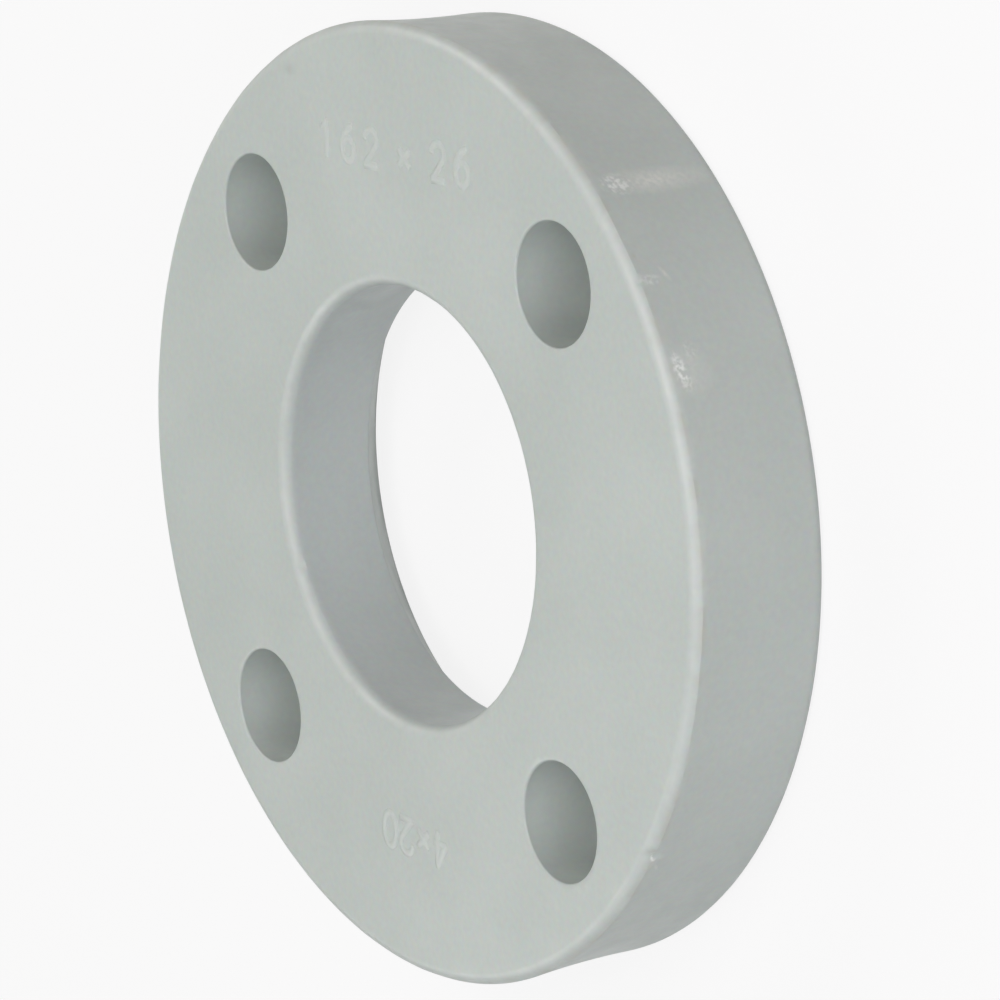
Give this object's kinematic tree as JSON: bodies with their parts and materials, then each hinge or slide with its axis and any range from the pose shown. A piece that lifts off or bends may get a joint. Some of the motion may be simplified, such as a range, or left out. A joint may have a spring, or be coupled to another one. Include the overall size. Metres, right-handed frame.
{
  "type": "pipe flange",
  "caption": "Thick plastic ring that backs up a pipe joint, with rounded rims, a bore chamfered at the back for the pipe's collar and evenly spaced bolt holes.",
  "frame": {"origin": "centre of the ring's flat back face, which is the face that the pipe's collar seats on", "axes": "+Z along the bore axis from the back face to the front face; +X and +Y lie halfway between neighbouring bolt holes"},
  "size_m": [0.1624, 0.1624, 0.026],
  "materials": {
    "grey_plastic": "moulded, satin"
  },
  "bodies": {
    "root": {"flange_ring": "grey_plastic"}
  },
  "joints": []
}
